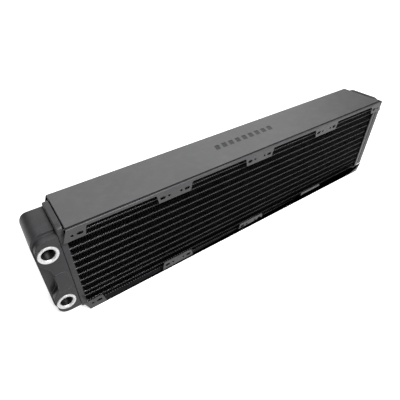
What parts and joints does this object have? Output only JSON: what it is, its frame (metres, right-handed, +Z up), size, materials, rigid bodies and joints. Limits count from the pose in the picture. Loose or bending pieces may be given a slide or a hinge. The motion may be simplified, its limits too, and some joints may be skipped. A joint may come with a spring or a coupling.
{
  "type": "liquid cooling radiator",
  "caption": "Long, deep radiator for liquid cooling: flat tubes and folded fins between two tanks, side rails with tapped fan tabs, and threaded ports on one tank.",
  "frame": {"origin": "middle of the radiator's underside, on the lower cover panel, half way along its whole length and depth", "axes": "+X along the row of fans from the port tank to the return tank, +Y from the front, where the ports open, to the back, +Z up across the fans"},
  "size_m": [0.5304, 0.064, 0.125],
  "materials": {
    "tank_paint": "satin black paint",
    "header_paint": "satin black paint",
    "rail_paint": "satin black powder coat",
    "cover_paint": "fine satin dark grey powder coat",
    "core_paint": "brass tube under black paint",
    "fin_paint": "thin copper sheet under black paint",
    "brass_sheet": "bare brass sheet",
    "bright_nickel": "bright nickel plate"
  },
  "bodies": {
    "root": {"port_tank": "tank_paint", "return_tank": "tank_paint", "port_header_plate": "header_paint", "return_header_plate": "header_paint", "tank_baffle": "brass_sheet", "upper_port_bushing": "bright_nickel", "lower_port_bushing": "bright_nickel", "top_side_channel": "rail_paint", "bottom_side_channel": "rail_paint", "top_cover_panel": "cover_paint", "bottom_cover_panel": "cover_paint", "upper_side_tube": "core_paint", "lower_side_tube": "core_paint", "flat_tube_01": "core_paint", "flat_tube_02": "core_paint", "flat_tube_03": "core_paint", "flat_tube_04": "core_paint", "flat_tube_05": "core_paint", "flat_tube_06": "core_paint", "flat_tube_07": "core_paint", "flat_tube_08": "core_paint", "flat_tube_09": "core_paint", "flat_tube_10": "core_paint", "flat_tube_11": "core_paint", "fin_strip_01": "fin_paint", "fin_strip_02": "fin_paint", "fin_strip_03": "fin_paint", "fin_strip_04": "fin_paint", "fin_strip_05": "fin_paint", "fin_strip_06": "fin_paint", "fin_strip_07": "fin_paint", "fin_strip_08": "fin_paint", "fin_strip_09": "fin_paint", "fin_strip_10": "fin_paint", "fin_strip_11": "fin_paint", "fin_strip_12": "fin_paint", "fin_strip_13": "fin_paint", "fin_strip_14": "fin_paint"}
  },
  "joints": []
}
